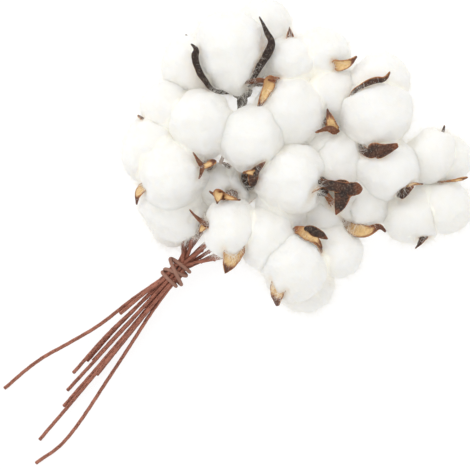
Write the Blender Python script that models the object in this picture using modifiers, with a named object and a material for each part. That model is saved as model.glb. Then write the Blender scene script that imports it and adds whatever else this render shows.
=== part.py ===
"""Cotton stem bunch: ten open cotton bolls on wrapped wires, bound together and lying down.

Every boll is a woody burr (cup, neck and pointed valves) with soft locks of cotton between its
valves. The layout below is a plan of the bunch seen from above, in millimetres, with the binding
at the plan's origin; the finished bunch is turned so that its length runs along +X.
"""
import math
from collections import namedtuple

import bmesh
import bpy
from mathutils import Matrix, Vector

MM = 0.001
GAP = 0.3                        # clearance between pieces that touch
PLAN_HEADING = 46.6              # degrees; the way the bunch points in the plan below

WIRE_RADIUS = 1.1
CHANNEL_RADIUS = 1.65            # six-sided room that the cotton leaves round a wire
WIRE_STEP = 13.0                 # longest straight stretch of a bent wire
SLOT_PITCH = 2.7                 # wires side by side in the bound bundle
ROW_PITCH = 2.45                 # rows of wires one above the other
BUNDLE_HEIGHT = 12.0             # height of the bundle's centre at the binding
BUNDLE_REACH = 7.5               # half the stretch where the wires run parallel
NECK_APPROACH = 5.0              # a wire's straight stretch before the neck

CUP_RADIUS = 5.0
CUP_FLATNESS = 0.75
NECK_RADIUS = 1.9
VALVE_THICKNESS = 1.2
VALVE_SLENDERNESS = 0.23         # half the greatest width over the length
VALVE_HOLLOW = 0.45              # depth of the valve's hollow over its half width

FULLNESS = 1.1                   # how far the cotton swells past its nominal size
EGG_TAPER = 0.14                 # how much narrower a lock is towards its burr

Lock = namedtuple("Lock", "x y z half_width half_length")
Boll = namedtuple("Boll", "name cup neck locks valve_tips")
Wire = namedtuple("Wire", "boll slot row rise tail")

BOLLS = [
    Boll("a", cup=(34, 91, 25), neck=(33, 78, 21),
         locks=[Lock(29, 110, 33, 17, 19), Lock(9, 104, 25, 13, 14),
                Lock(24, 114, 14, 12, 15), Lock(43, 120, 22, 13, 15)],
         valve_tips=[(8, 113, 39), (7, 121, 22), (48, 118, 7), (42, 127, 37)]),
    Boll("b", cup=(62, 94, 10), neck=(56, 87, 5),
         locks=[Lock(58, 82, 31, 16, 17), Lock(58, 105, 27, 13, 14),
                Lock(72, 107, 23, 13, 14), Lock(77, 90, 25, 13, 14)],
         valve_tips=[(42, 89, 42), (57, 124, 26), (91, 107, 33), (75, 79, 18)]),
    Boll("c", cup=(15, 54, 28), neck=(12, 46, 24),
         locks=[Lock(13, 74, 38, 14, 16), Lock(-3, 81, 29, 11, 13),
                Lock(-11, 62, 26, 16, 13), Lock(-1, 50, 34, 16, 15)],
         valve_tips=[(3, 95, 25), (-19, 80, 32), (-20, 34, 28), (7, 62, 48)]),
    Boll("d", cup=(37, 47, 32), neck=(36, 39, 26),
         locks=[Lock(38, 66, 40, 14, 15), Lock(46, 63, 19, 12, 14),
                Lock(54, 32, 26, 11, 13), Lock(58, 47, 37, 15, 16)],
         valve_tips=[(29, 56, 41), (50, 74, 26), (46, 57, 49)]),
    Boll("e", cup=(14, 25, 27), neck=(10, 19, 21),
         locks=[Lock(0, 32, 24, 14, 16), Lock(-5, 42, 12, 11, 13), Lock(0, 25, 12, 10, 12)],
         valve_tips=[(6, 32, 43), (-16, 26, 24), (11, 16, 33)]),
    Boll("f", cup=(82, 72, 10), neck=(74, 67, 7),
         locks=[Lock(102, 94, 28, 13, 15), Lock(100, 80, 33, 16, 18),
                Lock(104, 54, 30, 14, 17), Lock(77, 64, 24, 11, 12)],
         valve_tips=[(104, 98, 39), (111, 62, 42), (96, 52, 10), (76, 83, 43)]),
    Boll("h", cup=(73, 43, 42), neck=(65, 40, 36),
         locks=[Lock(83, 56, 29, 12, 14), Lock(93, 35, 28, 10, 13),
                Lock(74, 29, 24, 11, 13), Lock(92, 47, 14, 12, 14)],
         valve_tips=[(94, 45, 45), (85, 29, 43), (64, 35, 42), (103, 21, 16)]),
    Boll("j", cup=(117, 44, 12), neck=(108, 40, 8),
         locks=[Lock(128, 58, 26, 11, 14), Lock(137, 57, 21, 10, 11),
                Lock(120, 31, 19, 14, 14), Lock(134, 34, 20, 12, 13)],
         valve_tips=[(134, 73, 29), (146, 46, 29), (122, 11, 27), (108, 38, 40)]),
    Boll("k", cup=(60, 17, 23), neck=(52, 15, 18),
         locks=[Lock(60, 4, 34, 15, 16), Lock(78, 11, 28, 11, 14),
                Lock(65, -3, 20, 13, 15), Lock(76, 14, 12, 11, 13)],
         valve_tips=[(74, 11, 45), (51, -17, 35), (80, 2, 9), (86, 24, 14)]),
    Boll("l", cup=(27, 37, 33), neck=(25, 29, 27),
         locks=[Lock(28, 23, 36, 12, 14), Lock(45, 17, 34, 12, 14),
                Lock(20, 44, 24, 9, 11), Lock(32, 44, 22, 9, 11)],
         valve_tips=[(26, -1, 34), (15, 41, 41), (35, 36, 45), (25, 56, 20)]),
]

# slot and row: the wire's place in the bound bundle; rise: on its way to the neck;
# tail: from the binding to its cut end
WIRES = [
    Wire("a", slot=1.5, row=0, rise=[(15, 35, 12), (24, 58, 13)],
         tail=[(-21, -13, 9), (-41, -28, 6), (-70, -45, 3), (-87, -59, 1.2)]),
    Wire("b", slot=1, row=-1, rise=[(30, 45, 5)],
         tail=[(-29, -27, 3.5), (-45, -45, 1.2)]),
    Wire("c", slot=1, row=1, rise=[(4, 24, 15)],
         tail=[(-14.5, -9.5, 13.5), (-28, -21, 11)]),
    Wire("d", slot=-0.5, row=0, rise=[(21, 19, 15)],
         tail=[(-30, -37, 6.5), (-57, -68, 1.2)]),
    Wire("e", slot=0.5, row=0, rise=[(7, 11, 14)],
         tail=[(-31, -28, 8), (-52, -51, 3.9)]),
    Wire("f", slot=0, row=-1, rise=[(40, 38, 9)],
         tail=[(-29, -31, 4), (-42, -45, 1.2)]),
    Wire("h", slot=-1, row=-1, rise=[(30, 19, 12), (50, 31, 20)],
         tail=[(-32, -42, 3.5), (-40, -52, 1.8)]),
    Wire("j", slot=-1.5, row=0, rise=[(60, 25, 5)],
         tail=[(-12, -20, 9.5), (-29, -46, 6), (-54, -83, 2.5), (-71, -97, 1.2)]),
    Wire("k", slot=-1, row=1, rise=[(25, 8, 15)],
         tail=[(-32, -41, 8.5), (-69, -85, 1.2)]),
    Wire("l", slot=0, row=1, rise=[(15, 14, 17)],
         tail=[(-29, -31.5, 8.2), (-55, -60, 1.2)]),
]

TIE_TURNS = 3
TIE_PITCH = 2.9
TIE_STEPS = 14                   # straight stretches in one turn
TIE_HALF_WIDTH = 7.2
TIE_HALF_HEIGHT = 5.8

COTTON = ((0.91, 0.90, 0.87, 1), 0.95)
HUSK = ((0.16, 0.07, 0.035, 1), 0.75)
PAPER_TAPE = ((0.27, 0.12, 0.075, 1), 0.8)


def metres(point):
    return Vector(point) * MM


def clear_scene():
    for obj in list(bpy.data.objects):
        bpy.data.objects.remove(obj, do_unlink=True)


def new_collection(name):
    collection = bpy.data.collections.new(name)
    bpy.context.scene.collection.children.link(collection)
    return collection


def make_material(name, look):
    colour, roughness = look
    material = bpy.data.materials.new(name)
    material.use_nodes = True
    shader = material.node_tree.nodes["Principled BSDF"]
    shader.inputs["Base Color"].default_value = colour
    shader.inputs["Roughness"].default_value = roughness
    shader.inputs["Metallic"].default_value = 0.0
    material.diffuse_color = colour
    return material


def add_object(name, mesh, collection, material=None):
    obj = bpy.data.objects.new(name, mesh)
    collection.objects.link(obj)
    if material:
        mesh.materials.clear()
        mesh.materials.append(material)
    mesh.shade_smooth()
    return obj


def mesh_from(bm, name):
    """A finished mesh: no needless corners, faces outward, all triangles."""
    needless = [vert for vert in bm.verts if len(vert.link_edges) == 2]
    bmesh.ops.dissolve_verts(bm, verts=needless)
    bmesh.ops.triangulate(bm, faces=bm.faces)
    bmesh.ops.recalc_face_normals(bm, faces=bm.faces)
    mesh = bpy.data.meshes.new(name)
    bm.to_mesh(mesh)
    bm.free()
    return mesh


def evaluated_mesh(obj):
    """The object's mesh with its modifiers applied, welded and in world space."""
    bpy.context.view_layer.update()
    graph = bpy.context.evaluated_depsgraph_get()
    mesh = bpy.data.meshes.new_from_object(obj.evaluated_get(graph))
    bm = bmesh.new()
    bm.from_mesh(mesh)
    bpy.data.meshes.remove(mesh)
    bmesh.ops.transform(bm, matrix=obj.matrix_world, verts=bm.verts)
    bmesh.ops.remove_doubles(bm, verts=bm.verts, dist=0.02 * MM)
    return bm


def keep_largest_body(bm):
    """Drop the crumbs that a cut leaves beside the main body."""
    left = set(bm.faces)
    bodies = []
    while left:
        body = [left.pop()]
        for face in body:
            for edge in face.edges:
                joined = left.intersection(edge.link_faces)
                left -= joined
                body += joined
        bodies.append(body)
    bodies.sort(key=lambda body: sum(face.calc_area() for face in body))
    for body in bodies[:-1]:
        bmesh.ops.delete(bm, geom=body, context="FACES")


def combine(name, operation, first, others, collection, material=None):
    """Boolean of one object with the others, as a new object; the pieces are removed."""
    for other in others:
        cut = first.modifiers.new("combine", "BOOLEAN")
        cut.operation = operation
        cut.solver = "MANIFOLD"      # EXACT tears the thin valves open where they cross
        cut.object = other
    bm = evaluated_mesh(first)
    keep_largest_body(bm)
    bmesh.ops.dissolve_degenerate(bm, edges=bm.edges, dist=0.01 * MM)
    result = add_object(name, mesh_from(bm, name), collection, material)
    bpy.data.objects.remove(first, do_unlink=True)
    return result


# ---------------------------------------------------------------- burrs

def boll_axis(boll):
    """From the cup to the middle of the locks."""
    middle = sum((metres((k.x, k.y, k.z)) for k in boll.locks), Vector()) / len(boll.locks)
    return (middle - metres(boll.cup)).normalized()


def valve_object(boll, tip, grow, scratch):
    """A pointed, hollow blade that leaves the cup sideways and follows the cotton to its tip."""
    axis = boll_axis(boll)
    reach = metres(tip) - metres(boll.cup)
    forward = axis * reach.dot(axis)
    outward = reach - forward
    side = outward.cross(axis).normalized()
    root = metres(boll.cup) + outward.normalized() * CUP_RADIUS * 0.5 * MM
    end = metres(tip) + reach.normalized() * grow * MM
    bend = root + outward * 0.75 + forward * 0.2
    half_width = reach.length * VALVE_SLENDERNESS

    bm = bmesh.new()
    bmesh.ops.create_grid(bm, x_segments=4, y_segments=2, size=1)
    for vert in bm.verts:
        along, across = (vert.co.x + 1) / 2, vert.co.y
        point = root * (1 - along) ** 2 + bend * 2 * along * (1 - along) + end * along ** 2
        tangent = (bend - root) * (1 - along) + (end - bend) * along
        inward = side.cross(tangent.normalized())
        swell = math.sin(math.pi * (0.18 + 0.76 * along))
        hollow = VALVE_HOLLOW * half_width * swell * across * across
        vert.co = point + side * across * (half_width * swell + grow * MM) + inward * hollow
    mesh = bpy.data.meshes.new("valve")
    bm.to_mesh(mesh)
    bm.free()
    blade = add_object("valve", mesh, scratch)
    shell = blade.modifiers.new("thickness", "SOLIDIFY")
    shell.thickness = (VALVE_THICKNESS + 2 * grow) * MM
    shell.offset = 0.0
    return blade


def cup_object(boll, grow, scratch):
    bm = bmesh.new()
    bmesh.ops.create_uvsphere(bm, u_segments=8, v_segments=5, radius=(CUP_RADIUS + grow) * MM)
    turn = boll_axis(boll).to_track_quat("Z", "Y").to_matrix().to_4x4()
    place = Matrix.Translation(metres(boll.cup)) @ turn @ Matrix.Diagonal((1, 1, CUP_FLATNESS, 1))
    bmesh.ops.transform(bm, matrix=place, verts=bm.verts)
    return add_object("cup", mesh_from(bm, "cup"), scratch)


def neck_object(boll, grow, scratch):
    start, end = metres(boll.cup), metres(boll.neck)
    run = end - start
    end = end + run.normalized() * grow * MM
    run = end - start
    bm = bmesh.new()
    bmesh.ops.create_cone(bm, cap_ends=True, segments=6, radius1=(NECK_RADIUS * 1.5 + grow) * MM,
                          radius2=(NECK_RADIUS + grow) * MM, depth=run.length)
    turn = run.to_track_quat("Z", "Y").to_matrix().to_4x4()
    bmesh.ops.transform(bm, matrix=Matrix.Translation(start + run / 2) @ turn, verts=bm.verts)
    return add_object("neck", mesh_from(bm, "neck"), scratch)


def burr_limbs(boll, grow, scratch):
    """Cup, neck and valves as overlapping solids, fatter by the given clearance."""
    limbs = [cup_object(boll, grow, scratch), neck_object(boll, grow, scratch)]
    return limbs + [valve_object(boll, tip, grow, scratch) for tip in boll.valve_tips]


def burr_object(boll, collection, scratch, material):
    """The woody burr as one body."""
    cup, *limbs = burr_limbs(boll, 0.0, scratch)
    burr = combine(f"burr_{boll.name}", "UNION", cup, limbs, collection, material)
    for limb in limbs:
        bpy.data.objects.remove(limb, do_unlink=True)
    return burr


# ---------------------------------------------------------------- wires

def smooth_route(points):
    """Catmull-Rom points through the given ones, a wire step or less apart."""
    ends = [points[0] * 2 - points[1]] + points + [points[-1] * 2 - points[-2]]
    route = []
    for p0, p1, p2, p3 in zip(ends, ends[1:], ends[2:], ends[3:]):
        steps = max(1, math.ceil((p2 - p1).length / (WIRE_STEP * MM)))
        for step in range(steps):
            t = step / steps
            route.append(0.5 * (2 * p1 + (p2 - p0) * t + (2 * p0 - 5 * p1 + 4 * p2 - p3) * t * t
                                + (3 * p1 - p0 - 3 * p2 + p3) * t ** 3))
    return route + [points[-1]]


def bundle_place(wire, along):
    heading = math.radians(PLAN_HEADING)
    forward = Vector((math.cos(heading), math.sin(heading), 0))
    sideways = Vector((-math.sin(heading), math.cos(heading), 0))
    height = Vector((0, 0, BUNDLE_HEIGHT + wire.row * ROW_PITCH))
    return (forward * along + sideways * wire.slot * SLOT_PITCH + height) * MM


def wire_route(wire, gap):
    """From the cut end, through the binding, to the given gap below the burr's neck."""
    boll = next(b for b in BOLLS if b.name == wire.boll)
    neck = metres(boll.neck)
    down = (neck - metres(boll.cup)).normalized() * MM
    meet = [neck + down * NECK_APPROACH, neck + down * gap]
    bound = [bundle_place(wire, BUNDLE_REACH * share) for share in (-1, -0.4, 0.4, 1)]
    tail = [metres(p) for p in reversed(wire.tail)]
    return smooth_route(tail + bound + [metres(p) for p in wire.rise] + meet)


def tube_object(name, route, radius, collection, material=None, roundness=2):
    curve = bpy.data.curves.new(name, "CURVE")
    curve.dimensions = "3D"
    curve.bevel_depth = radius * MM
    curve.bevel_resolution = roundness
    curve.use_fill_caps = True
    spline = curve.splines.new("POLY")
    spline.points.add(len(route) - 1)
    for point, place in zip(spline.points, route):
        point.co = (*place, 1)
    guide = bpy.data.objects.new("guide", curve)
    collection.objects.link(guide)
    bm = evaluated_mesh(guide)
    bpy.data.objects.remove(guide, do_unlink=True)
    return add_object(name, mesh_from(bm, name), collection, material)


def tie_route():
    """A close coil round the bundle, in the bundle's own direction."""
    route = []
    for step in range(TIE_TURNS * TIE_STEPS + 1):
        turns = step / TIE_STEPS
        angle = 2 * math.pi * turns - math.pi / 2
        route.append(Vector((TIE_PITCH * (turns - TIE_TURNS / 2), TIE_HALF_WIDTH * math.cos(angle),
                             TIE_HALF_HEIGHT * math.sin(angle))) * MM)
    turn = Matrix.Rotation(math.radians(PLAN_HEADING), 4, "Z")
    lift = Matrix.Translation((0, 0, BUNDLE_HEIGHT * MM))
    return [lift @ turn @ point for point in route]


# ---------------------------------------------------------------- locks

def lock_size(lock):
    return Vector((lock.half_width, lock.half_width, lock.half_length)) * FULLNESS * MM


def lock_frame(boll, lock):
    centre = metres((lock.x, lock.y, lock.z))
    away = (centre - metres(boll.cup)).normalized()
    return centre, away.to_track_quat("Z", "Y").to_matrix()


def reach_towards(boll, lock, direction):
    """Distance from the lock's centre to its surface in a direction."""
    _, turn = lock_frame(boll, lock)
    local = turn.transposed() @ direction
    size = lock_size(lock)
    return 1 / math.sqrt(sum((local[i] / size[i]) ** 2 for i in range(3)))


def lock_object(boll, lock, name, scratch):
    """An egg of cotton, trimmed flat where it presses on each of its neighbours."""
    centre, turn = lock_frame(boll, lock)
    bm = bmesh.new()
    bmesh.ops.create_uvsphere(bm, u_segments=9, v_segments=6, radius=1)
    for vert in bm.verts:
        taper = 1 + EGG_TAPER * vert.co.z
        vert.co = Vector((vert.co.x * taper, vert.co.y * taper, vert.co.z))
    size = Matrix.Diagonal((*lock_size(lock), 1))
    bmesh.ops.transform(bm, matrix=Matrix.Translation(centre) @ turn.to_4x4() @ size, verts=bm.verts)
    for other_boll in BOLLS:
        for other in other_boll.locks:
            if other is lock:
                continue
            apart = metres((other.x, other.y, other.z)) - centre
            distance = apart.length
            direction = apart / distance
            mine = reach_towards(boll, lock, direction)
            theirs = reach_towards(other_boll, other, direction)
            meet = (distance + mine - theirs) / 2 - GAP * MM / 2
            geometry = bm.verts[:] + bm.edges[:] + bm.faces[:]
            bmesh.ops.bisect_plane(bm, geom=geometry, plane_co=centre + direction * meet,
                                   plane_no=direction, clear_outer=True)
            bmesh.ops.holes_fill(bm, edges=bm.edges, sides=0)
    return add_object(name, mesh_from(bm, name), scratch)


def boxes_meet(first, second):
    a = [first.matrix_world @ Vector(corner) for corner in first.bound_box]
    b = [second.matrix_world @ Vector(corner) for corner in second.bound_box]
    return all(min(p[i] for p in a) < max(q[i] for q in b) and
               min(q[i] for q in b) < max(p[i] for p in a) for i in range(3))


# ---------------------------------------------------------------- assembly

def stand_on_origin(objects, collection):
    """Turn the plan so its heading is +X and put the middle of its footprint at the origin."""
    turn = Matrix.Rotation(-math.radians(PLAN_HEADING), 4, "Z")
    corners = [turn @ v.co for obj in objects for v in obj.data.vertices]
    low = [min(c[i] for c in corners) for i in range(3)]
    high = [max(c[i] for c in corners) for i in range(3)]
    plan = bpy.data.objects.new("plan", None)
    collection.objects.link(plan)
    plan.rotation_euler.z = -math.radians(PLAN_HEADING)
    plan.location = (-(low[0] + high[0]) / 2, -(low[1] + high[1]) / 2, -low[2])
    for obj in objects:
        obj.parent = plan


def build():
    clear_scene()
    parts = new_collection("cotton_stem_bunch")
    cutters = new_collection("cutters")
    cotton = make_material("cotton_fibre", COTTON)
    husk = make_material("dry_husk", HUSK)
    tape = make_material("paper_tape", PAPER_TAPE)

    pieces = [burr_object(boll, parts, cutters, husk) for boll in BOLLS]
    rooms = [limb for boll in BOLLS for limb in burr_limbs(boll, GAP, cutters)]
    for wire in WIRES:
        route, channel = wire_route(wire, GAP), wire_route(wire, 0.0)
        pieces.append(tube_object(f"wire_{wire.boll}", route, WIRE_RADIUS, parts, tape))
        rooms.append(tube_object("channel", channel, CHANNEL_RADIUS, cutters, roundness=1))
    pieces.append(tube_object("binding_wire", tie_route(), WIRE_RADIUS, parts, tape))

    for boll in BOLLS:
        for number, lock in enumerate(boll.locks, start=1):
            blank = lock_object(boll, lock, "blank", cutters)
            bpy.context.view_layer.update()
            near = [room for room in rooms if boxes_meet(blank, room)]
            name = f"lock_{boll.name}{number}"
            pieces.append(combine(name, "DIFFERENCE", blank, near, parts, cotton))

    for room in rooms:
        room.hide_render = True
        room.display_type = "WIRE"
    stand_on_origin(pieces, parts)


build()
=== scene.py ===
"""Cotton stem bunch: ten open cotton bolls on paper-wrapped wires, tied together and lying down.

Run as a script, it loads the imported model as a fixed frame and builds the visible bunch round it:
combed-out cotton locks with loose fibres, woody husks with pale linings, wrapped stems and the
wire that ties them. Each kind of piece has its own operator, listed in the 3D view's sidebar.
"""
import math
import random
from collections import namedtuple

import bmesh
import bpy
import numpy as np
from bpy.props import FloatProperty, FloatVectorProperty, IntProperty, PointerProperty
from mathutils import Matrix, Vector, noise
from mathutils.bvhtree import BVHTree


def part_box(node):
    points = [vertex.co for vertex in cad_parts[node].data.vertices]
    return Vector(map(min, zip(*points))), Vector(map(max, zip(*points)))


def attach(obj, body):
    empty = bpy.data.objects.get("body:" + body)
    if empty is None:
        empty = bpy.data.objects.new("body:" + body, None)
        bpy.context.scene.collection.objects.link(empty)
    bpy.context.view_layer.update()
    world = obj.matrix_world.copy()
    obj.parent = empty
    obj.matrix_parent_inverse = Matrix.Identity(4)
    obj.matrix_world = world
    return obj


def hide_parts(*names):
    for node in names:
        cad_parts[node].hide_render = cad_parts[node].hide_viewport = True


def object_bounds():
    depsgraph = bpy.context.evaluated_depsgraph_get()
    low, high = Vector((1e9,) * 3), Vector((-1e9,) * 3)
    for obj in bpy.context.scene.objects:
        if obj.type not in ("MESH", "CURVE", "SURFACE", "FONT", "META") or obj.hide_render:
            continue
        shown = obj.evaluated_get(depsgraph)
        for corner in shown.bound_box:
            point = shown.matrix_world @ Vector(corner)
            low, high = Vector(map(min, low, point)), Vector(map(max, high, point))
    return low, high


bl_info = {
    "name": "Cotton Stem Bunch",
    "version": (1, 0, 0),
    "blender": (4, 5, 0),
    "location": "3D View > Sidebar > Cotton",
    "description": "Builds a tied bunch of open cotton bolls on paper-wrapped wire stems",
    "category": "Add Mesh",
}

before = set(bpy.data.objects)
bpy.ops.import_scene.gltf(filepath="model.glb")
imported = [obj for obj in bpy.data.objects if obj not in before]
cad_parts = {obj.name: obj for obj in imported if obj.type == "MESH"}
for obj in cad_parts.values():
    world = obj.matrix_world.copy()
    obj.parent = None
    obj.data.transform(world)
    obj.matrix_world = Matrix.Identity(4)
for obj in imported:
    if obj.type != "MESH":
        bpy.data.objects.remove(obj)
CAD_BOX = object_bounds()

MM = 0.001
SEED = 7                         # for the scattered fibres and for the way the stems stray
PLAN_HEADING = 46.6              # degrees; the way the bunch points in the plan below
BUNDLE_HEIGHT = 12.0             # height of the tied stems above the floor

Boll = namedtuple("Boll", "name warmth cup neck locks valves")
Stem = namedtuple("Stem", "boll slot row rise tail")
# points: from where the valve leaves the cotton to its tip; roll: 0 where its flat faces up, 90
# where it stands on edge; lining: 1 where the pale lining faces up; peak: where along it the
# valve is broadest; blunt: 1 for a broad end
Valve = namedtuple("Valve", "points half_width roll lining peak blunt",
                   defaults=(0, 0, 0.2, 0))


def hidden(*tip):
    """A valve that stays among the cotton, straight from the cup to its tip."""
    return Valve([tip], 0)


# The bunch in plan, in millimetres, with the binding at the origin: where each husk's cup and
# neck are, where the middles of its locks are, and how its valves run. Warmth says how far a
# husk has gone from grey-black (0) to reddish brown (1).
BOLLS = [
    Boll("a", 0.0, (34, 91, 25), (33, 78, 21),
         [(29, 110, 33), (9, 104, 25), (24, 114, 14), (43, 120, 22)],
         [Valve([(20.5, 91.5, 36), (15.6, 96.5, 41.5), (12.1, 103, 44.5), (10.9, 108.5, 45),
                 (10.8, 111.4, 44.5), (7.8, 112.2, 43.5)], 3.3, 62, peak=0.8),
          Valve([(38, 94.5, 39), (42.6, 102, 44), (47.6, 109.5, 45), (49.2, 115.5, 45),
                 (45.5, 121.5, 44.5), (40.8, 126.4, 43.5)], 3.5, 60, peak=0.6),
          hidden(7.5, 121, 23), hidden(48, 118, 7)]),
    Boll("b", 0.8, (62, 94, 10), (56, 87, 5),
         [(58, 82, 31), (58, 105, 27), (72, 107, 23), (77, 90, 25)],
         [Valve([(48.5, 96.5, 43.5), (46.3, 92.5, 45), (43.8, 87, 44.5), (41.3, 80, 41)], 3.0,
                -14, 1, peak=0.12),
          Valve([(36, 94.5, 38), (40, 95.8, 43.5), (45, 96, 46), (49.5, 96.8, 45.5)], 1.3, 30,
                peak=0.6),
          Valve([(57, 111, 26), (57.5, 117, 33), (58, 123.5, 33)], 3.2, 20, 1, peak=0.4),
          Valve([(79, 103.5, 33), (83, 104.2, 37), (87.5, 105.6, 37.5), (91.8, 108.2, 36.5)],
                3.2, 15, 1, peak=0.25),
          Valve([(79.2, 71.5, 38), (78.6, 73.5, 42), (77.3, 77.5, 44), (75.2, 82.5, 42.5)],
                3.2, -12, 1, peak=0.2),
          Valve([(80.5, 71, 41), (77, 72.2, 45.5), (70.5, 69.8, 43.5)], 1.8, 10, peak=0.4)]),
    Boll("c", 0.9, (15, 54, 28), (12, 46, 24),
         [(13, 74, 38), (-3, 81, 29), (-11, 62, 26), (-1, 50, 34)],
         [Valve([(14.5, 53, 43), (12, 55.6, 46), (8.7, 60.2, 47)], 1.3, 20),
          Valve([(14, 53, 43), (17, 54, 46.5), (20.6, 56.4, 46.5)], 1.7, -15, 1, peak=0.75,
                blunt=0.7),
          Valve([(14, 54, 44), (13.4, 51, 45.5), (12.4, 47, 44)], 1.4, 25),
          Valve([(-12.5, 43.5, 31), (-16, 42, 34.5), (-18.5, 39, 35), (-20.4, 34, 33.5)], 2.7,
                25, 1, peak=0.3),
          hidden(3, 95, 25), hidden(-18, 79.5, 31)]),
    Boll("d", 0.25, (37, 47, 29), (36, 40, 22),
         [(38, 66, 40), (46, 63, 19), (54, 32, 26), (58, 47, 37)],
         [Valve([(38.8, 43.5, 43), (39.2, 47, 46), (40.5, 51, 47.5), (44.8, 55.6, 47)], 2.7, 12,
                peak=0.35),
          Valve([(39.5, 50, 46), (36.5, 50.2, 47.5), (33.6, 49.6, 46.5)], 1.4, -20, 1),
          hidden(50, 74, 26)]),
    Boll("e", 0.9, (14, 25, 27), (10, 19, 21),
         [(0, 32, 24), (-5, 42, 12), (0, 25, 12)],
         [Valve([(18.5, 23.3, 38), (14.5, 25, 42.5), (11, 27.6, 43.5), (7, 31.4, 43)], 1.5, 25),
          Valve([(15.5, 24.5, 39), (13.5, 22, 41), (12, 18.6, 39)], 1.8, 0, 1),
          hidden(-12, 27, 22)]),
    Boll("f", 0.3, (82, 72, 10), (74, 67, 7),
         [(102, 94, 28), (100, 80, 33), (104, 54, 30), (77, 64, 24)],
         [Valve([(88, 88, 39), (93, 92.5, 46), (99, 95.3, 48.5), (104.5, 96.6, 48.5),
                 (106, 100.5, 47)], 2.3, 50, peak=0.74),
          Valve([(95.5, 60.2, 43), (98.3, 60.6, 48), (104, 61.4, 49.8), (110.6, 63.8, 48.2)],
                4.0, 6, peak=0.42),
          hidden(96, 52, 10)]),
    Boll("h", 0.2, (73, 43, 42), (65, 40, 36),
         [(83, 56, 29), (93, 35, 28), (74, 29, 24), (92, 47, 14)],
         [Valve([(72, 44.9, 48), (79, 43.5, 50.2), (86, 41.8, 50.9), (93.2, 41.6, 49.8)], 3.4,
                -4, peak=0.75, blunt=1),
          Valve([(84.5, 43.5, 48.5), (84, 40.8, 50.2), (82.8, 35.8, 50), (80.9, 29.4, 48)], 4.8,
                6, peak=0.12, blunt=0.25),
          Valve([(72.5, 43, 46), (69, 41.6, 48), (66, 39, 47), (63.3, 35.6, 44.5)], 1.6, 10, 1),
          Valve([(84.5, 26.5, 27), (89.5, 21.8, 30), (96.5, 20.6, 32), (102.5, 23, 33),
                 (106.5, 20.5, 32)], 3.3, -12, 1, peak=0.45)]),
    Boll("j", 0.3, (117, 44, 12), (108, 40, 8),
         [(128, 58, 26), (137, 57, 21), (120, 31, 19), (134, 34, 20)],
         [Valve([(132, 66, 29), (134, 70, 32), (134.6, 74, 32)], 1.3, 30),
          Valve([(138, 46, 31), (142.5, 46.8, 34.3), (147, 47.5, 33.8)], 0.8, 30, 1, peak=0.7),
          Valve([(124, 21, 21), (124, 17, 26), (121, 11.8, 26)], 2.5, 15),
          Valve([(111.5, 38.4, 36), (113.3, 39.4, 39.5), (115.8, 41, 40.2), (118.8, 43.4, 39.4)],
                2.9, 6, peak=0.4),
          Valve([(115.5, 42.5, 37), (119, 44.4, 40), (124.5, 44.6, 38.5)], 1.0, -10, 1)]),
    Boll("k", 0.2, (60, 17, 23), (52, 15, 18),
         [(60, 4, 34), (78, 11, 28), (65, -3, 20), (76, 14, 12)],
         [Valve([(61, 21.5, 40), (66, 19, 43.5), (70.8, 15.5, 44.5), (74.4, 9.6, 42.5)], 3.2,
                -18, 1, peak=0.35),
          Valve([(65.5, 21.8, 44), (70.5, 20, 46.5), (76.3, 17.4, 45.5)], 2.4, 14, peak=0.4,
                blunt=0.4),
          Valve([(55, -1, 40), (52.5, -5.5, 41), (51, -11, 39), (51.2, -17.8, 36)], 5.3, 8, 1,
                peak=0.15),
          hidden(80, 2, 9), hidden(86, 24, 14)]),
    Boll("l", 0.7, (27, 37, 33), (25, 29, 27),
         [(28, 23, 36), (45, 17, 34), (20, 44, 24), (32, 44, 22)],
         [Valve([(30.5, 16, 41), (29.2, 11, 41), (27.2, 5, 39), (25, -1.6, 36)], 5.4, -8, 1,
                peak=0.2),
          Valve([(25.5, 37.5, 43), (21.5, 38.4, 46), (17, 40.4, 45.5)], 1.4, 25),
          Valve([(24.5, 38.6, 44), (28.5, 37.2, 46.5), (33, 36.2, 45.5)], 1.3, 10, 1),
          Valve([(22, 40, 45), (21.6, 37.8, 46.5), (20.8, 34, 45)], 2.6, 0, 1, peak=0.15),
          hidden(25, 56, 20)]),
]

# slot and row: the stem's place in the tied bundle; rise: on its way to the husk's neck;
# tail: from the binding to its cut end
STEMS = [
    Stem("a", 1.5, 0, [(15, 35, 12), (24, 58, 13)],
         [(-21, -13, 9), (-41, -28, 6), (-70, -45, 3), (-87, -59, 1.2)]),
    Stem("b", 1, -1, [(30, 45, 5)], [(-29, -27, 3.5), (-45, -45, 1.2)]),
    Stem("c", 1, 1, [(4, 24, 15)], [(-14.5, -9.5, 13.5), (-28, -21, 11)]),
    Stem("d", -0.5, 0, [(21, 19, 15)], [(-30, -37, 6.5), (-57, -68, 1.2)]),
    Stem("e", 0.5, 0, [(7, 11, 14)], [(-31, -28, 8), (-52, -51, 3.9)]),
    Stem("f", 0, -1, [(40, 38, 9)], [(-29, -31, 4), (-42, -45, 1.2)]),
    Stem("h", -1, -1, [(30, 19, 12), (50, 31, 20)], [(-32, -42, 3.5), (-40, -52, 1.8)]),
    Stem("j", -1.5, 0, [(60, 25, 5)],
         [(-12, -20, 9.5), (-29, -46, 6), (-54, -83, 2.5), (-71, -97, 1.2)]),
    Stem("k", -1, 1, [(25, 8, 15)], [(-32, -41, 8.5), (-69, -85, 1.2)]),
    Stem("l", 0, 1, [(15, 14, 17)], [(-29, -31.5, 8.2), (-55, -60, 1.2)]),
]

SLOT_PITCH = 2.05
ROW_PITCH = 1.95
BUNDLE_REACH = 7.5               # half the stretch where the stems run side by side
NECK_APPROACH = 5.0
STEM_GAP = 0.3                   # between a stem's end and its husk's neck


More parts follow.
